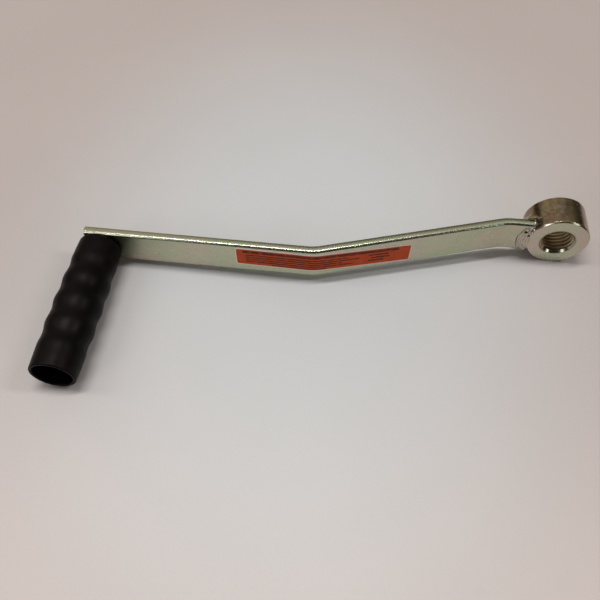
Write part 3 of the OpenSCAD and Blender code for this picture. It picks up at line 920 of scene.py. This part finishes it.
def makeLabel():
    # A thin closed film on the bar's face about the outer knee: its middle line is
    # straight to each side of the knee, and its half height drops round each corner
    # as a quarter circle does. It is one loop, front then back, with a lid at each end.
    length, bend = film["towardGrip"] + film["towardHub"], film["cornerRound"]
    share = np.concatenate([np.linspace(0, bend, film["cornerRows"]),
                            np.linspace(bend + 0.4, length - bend - 0.4, film["rows"]),
                            np.linspace(length - bend, length, film["cornerRows"])])[:, None]
    along = share - film["towardHub"]              # grows towards the grip
    fromEnd = np.minimum(share, length - share)
    half = film["height"] / 2 - bend + np.sqrt(bend ** 2 - (bend - fromEnd).clip(0) ** 2)
    middle = np.interp(along, [-film["towardHub"], 0, film["towardGrip"]],
                       [film["hubUp"], film["kneeUp"], film["gripUp"]])
    across = np.concatenate([[-1, -0.985], np.linspace(-0.94, 0.94, film["columns"]), [0.985, 1]])
    up = middle + half * across
    drop = film["edgeDrop"] * (1.0 * (np.abs(across) > 0.99) + (fromEnd < 0.05))
    wave = dented(joined(along, up, 0.0), film["wave"])
    face = bar["thickness"] / 2
    top = onBar(outerKneeAt + along, face + film["thickness"] + wave - drop, up)
    back = onBar(outerKneeAt + along, face - film["sunk"], up)
    chart = joined(-along, up - middle)
    fromRim = np.minimum(fromEnd, half * (1 - np.abs(across)))
    edge = 1 - ramp(fromRim, film["border"] * 0.5, film["border"] * 0.6)

    def looped(front, rear):
        return np.concatenate([front, rear[:, ::-1], front[:, :1]], 1)

    centre = (top + back) / 2
    lids, rows = looped(centre, centre), looped(top, back)
    place = np.concatenate([lids[:1], rows, lids[-1:]])
    chart, edge = (np.concatenate([part[:1], part, part[-1:]])
                   for part in (looped(chart, chart), looped(edge, np.ones_like(edge))))
    buildPiece("label_strip", "label", labelFilm(), [(place, chart, edge)], 40)


# Grip
grip = {
    "play": 0.25, "length": 98.1, "radius": 15.0, "wave": 0.42, "pitch": 16.8, "barrel": 1.2,
    "shoulder": 2.4, "lip": 1.0, "mouthRadius": 11.7, "draft": 0.5, "endWall": 3.2,
    "boreRadius": 4.84, "tubeRadius": 7.4, "bearing": 62.0, "ribs": 6, "ribThickness": 1.6,
    "ribBack": 6.0, "skin": (0.025, 7.0, 81),
    # rows of the outside, the hollow's wall, its floor, the tube and the bore
    "rows": (190, 60, 11, 40, 50),
    "partingLine": 0.05, "partingAt": 120, "partingWidth": 0.28,
    "tone": (0.0028, 0.0020, 0.0024), "brown": (0.0044, 0.0030, 0.0030), "roughness": (0.36, 0.45),
    "specular": 0.07, "specularTint": (1.0, 0.88, 0.84),
}


def gripMoulding():
    # Black moulding with a fine spark-eroded grain that dulls its shine in patches
    material, shader = finish("gripMoulding", Specular_IOR_Level=grip["specular"],
                              Specular_Tint=grip["specularTint"])
    place = objectPlace(shader)
    tone = blendColor(remap(noise(place, 120.0, 4.0), 0.35, 0.65, eased=True), grip["tone"], grip["brown"])
    rough = spread(noise(place, 260.0, 4.0, 0.65), *grip["roughness"])
    cells = addNode(place, "TexVoronoi", {"Vector": place, "Scale": 1500.0}).outputs["Distance"]
    grain = bumped(cells, 0.00004, 0.55)
    feed(shader, Base_Color=tone, Roughness=rough, Normal=bumped(noise(place, 420.0), 0.00006, 0.6, grain))
    return material


def gripRadius(fromMiddle):
    # a slight barrel, less a square of the distance, with four cosine finger waves
    pitch, wave = grip["pitch"], grip["wave"]
    waved = np.where(np.abs(fromMiddle) < 2 * pitch, np.cos(circle * fromMiddle / pitch), 1.0)
    barrel = grip["barrel"] * (2 * fromMiddle / grip["length"]) ** 2
    return grip["radius"] - wave - barrel + wave * waved


def makeGrip():
    # The outline of radius against distance from the bar, spun about the grip's axis:
    # end wall, shoulder, waved outside, lip, tapered hollow, its floor, bearing tube
    # and bore. Where a rib stands, the floor of the hollow rises to the rib's top;
    # each column of the grid keeps to the rib's side, so the ribs stay parallel.
    length, shoulder, lip, bore, tube = (
        grip[key] for key in ("length", "shoulder", "lip", "boreRadius", "tubeRadius"))
    low, high, mouth = grip["endWall"], grip["bearing"], length - lip
    ribTop = high - grip["ribBack"]
    quarter = np.linspace(0, np.pi / 2, 9)
    rise, fall = np.sin(quarter), np.cos(quarter)
    outsideRows, wallRows, floorRows, tubeRows, boreRows = grip["rows"]
    fromBar = np.linspace(shoulder, mouth, outsideRows)
    outside = gripRadius(fromBar - length / 2)
    inner, outer = outside[0] - shoulder, outside[-1] - lip
    wallShare = np.append(np.linspace(0, 0.95, wallRows), [0.985, 1.0])
    tubeShare = np.linspace(0, 1, tubeRows)
    tubeTop = softened([(tube, high - 0.8), (tube, high), (bore, high), (bore, high - 2)],
                       [0, 0.6, 0.5, 0], 1.0, 5, 0.08)
    boreFoot = softened([(bore, 1.2), (bore, 0), (inner, 0)], [0, 0.5, 0], 1.2, 5, 0.08)

    def drafted(depth):
        return grip["mouthRadius"] - grip["draft"] * (mouth - depth) / (mouth - low)

    def rows(radius, pocket, rib=None, ribRadius=None):
        # radius and distance in a pocket, then on a rib
        rib = pocket if rib is None else rib
        ribRadius = radius if ribRadius is None else ribRadius
        return joined(radius, pocket, ribRadius, rib)

    wallPocket = mouth - (mouth - low - 0.6) * wallShare
    wallRib = mouth - (mouth - ribTop - 0.3) * wallShare
    floorEnd = grip["mouthRadius"] - grip["draft"] - 0.5
    table = np.concatenate([
        rows(inner + shoulder * rise, shoulder - shoulder * fall)[:-1],
        rows(outside, fromBar),
        rows(outer + lip * fall, mouth + lip * rise)[1:],
        rows(grip["mouthRadius"] + lip - lip * rise, mouth + lip * fall)[:-1],
        rows(drafted(wallPocket), wallPocket, wallRib, drafted(wallRib)),
        rows(floorEnd + (tube + 0.5 - floorEnd) * np.linspace(0, 1, floorRows), low, ribTop),
        rows(tube, low + 0.6 + (high - 1.4 - low) * tubeShare,
             ribTop + 0.3 + (high - 1.1 - ribTop) * tubeShare),
        rows(*tubeTop[1:].T),
        rows(bore, np.linspace(high - 2, 1.2, boreRows)[1:]),
        rows(*boreFoot[1:].T),
    ])
    # one sector's columns: a mark of 1 is the rib's side and 2 is halfway to the next
    mark = np.concatenate([np.linspace(-2, -1.06, 12), [-1.0, -0.93, -0.5, 0, 0.5, 0.93, 1.0],
                           np.linspace(1.06, 2, 12)])
    onRib = smooth((1.03 - np.abs(mark)) / 0.08)
    radius, depth = (table[:, i, None] * (1 - onRib) + table[:, i + 2, None] * onRib for i in (0, 1))
    ribHalf = np.arcsin((grip["ribThickness"] / 2 / radius).clip(0, 0.9))
    sector = np.pi / grip["ribs"]
    past = (np.abs(mark) - 1).clip(0)
    turn = np.sign(mark) * (np.minimum(np.abs(mark), 1) * ribHalf + past * (sector - ribHalf))

    def ringed(sectors):
        # sectors one after another, with falling angles and shared columns kept once
        return np.concatenate([part[:, ::-1][:, min(i, 1):] for i, part in enumerate(sectors)], 1)

    around = ringed([np.pi / 2 - 2 * sector * k + turn for k in range(grip["ribs"])])
    radius, depth = (ringed([part] * grip["ribs"]) for part in (radius, depth))
    y = joint["front"] - grip["play"] - depth
    # the parting line is a fine ridge on the outside, at two opposite columns
    skinned = ramp(radius, 12.9, 0.4) * smooth((length - 1.5 - depth) / 0.8)
    fromLine = np.sin(around - np.radians(grip["partingAt"])) * 15.0
    parted = np.exp(-(fromLine / grip["partingWidth"]) ** 2)
    skin = dented(aroundY(radius, y, around, joint["x"]), grip["skin"]) + grip["partingLine"] * parted
    place = aroundY(radius + skin * skinned, y, around, joint["x"])
    chart = joined(around * 14.0, walked(table[:, :2])[:, None])
    buildPiece("grip_moulding", "grip", gripMoulding(), [(place, chart, 0.0)], 35, "grip")


# Spindle
spindle = {
    "shank": 4.75, "tenon": 3.95, "shankLength": 64.1, "headRadius": 8.0, "headHeight": 4.0,
    "stakeRadius": 7.0, "stakeHeight": 2.2, "washerRadius": 8.8, "washer": 1.6, "washerBore": 4.95,
    "struck": 0.22, "blows": 4.2,     # how deep and how big the hammer's marks are
    "angles": np.linspace(0, circle, 97),
}


def domed(radius, height, flatTop, count=22):
    # radius and height of a sphere's cap, flattened at its crown by a small amount
    sphere = (radius ** 2 + height ** 2) / (2 * height)
    inward = np.linspace(radius, 0, count)
    rise = height - sphere + np.sqrt(sphere ** 2 - inward ** 2)
    return inward, np.minimum(rise, height - flatTop)


def makeSpindle():
    # One shouldered rivet, spun: hammered stake behind the bar, tenon through it,
    # shank, and a domed head inside the grip
    near = joint["front"]
    far, shankEnd = near + bar["thickness"], near - spindle["shankLength"]
    stakeEdge, headEdge = spindle["stakeRadius"] - 0.1, spindle["headRadius"] - 0.1
    stakeRadius, stakeRise = domed(stakeEdge, spindle["stakeHeight"], 0.25)
    headRadius, headRise = domed(headEdge - 0.05, spindle["headHeight"] - 0.3, 0.2)
    tenon, shank = spindle["tenon"], spindle["shank"]
    neck = softened([(stakeEdge, far), (tenon, far), (tenon, near), (shank, near), (shank, shankEnd),
                     (headEdge, shankEnd)], [0, 0, 0, 0.15, 0.3, 0], 1.5, 4, 0.05)
    profile = np.concatenate([joined(stakeRadius, far + stakeRise)[::-1], neck,
                              [(spindle["headRadius"], shankEnd - 0.12)],
                              joined(headRadius, shankEnd - 0.3 - headRise)])
    place, chart = spun(profile, spindle["angles"], joint["x"])
    y = place[..., 1]
    struck = ramp(y, far + 0.15, 0.8) + 0.4 * smooth((shankEnd - 1.2 - y) / 1.0)
    blows = np.abs(unevenness(place * [1, 0.3, 1], spindle["blows"], 91)) - 0.5
    place[..., 1] -= blows * spindle["struck"] * struck * np.sign(y - near)
    buildPiece("spindle_rivet", "spindle", spindlePlated, [(place, chart, 0.0)], 35)


def makeWasher():
    # A flat ring with rounded edges, as it comes from the punch, spun about the axis
    near = joint["front"] - spindle["shankLength"]
    far, rim, bore = near + spindle["washer"], spindle["washerRadius"], spindle["washerBore"]
    loop = softened([(bore + 1.5, near), (rim, near), (rim, far), (bore, far), (bore, near),
                     (bore + 1.5, near)], [0, 0.35, 0.12, 0.12, 0.3, 0], 1.0, 5, 0.06)
    place, chart = spun(loop, spindle["angles"], joint["x"])
    buildPiece("spindle_washer_ring", "spindle_washer", spindlePlated,
               [(place, chart, 0.0)], 35)


zincPlated = zincPlate()
hubPlated = hubSteel()
weldPlated, weldOlive = (weldMetal(name, tones) for name, tones in weldTones.items())
spindlePlated = spindleSteel()
print("metal finishes made")
makeArm()
makeHub()
makeFrontWeld()
makeEdgeBead("weld_bead_top")
makeEdgeBead("weld_bead_under")
makeBackWeld()
makeLabel()
makeGrip()
makeSpindle()
makeWasher()
print("pieces made")
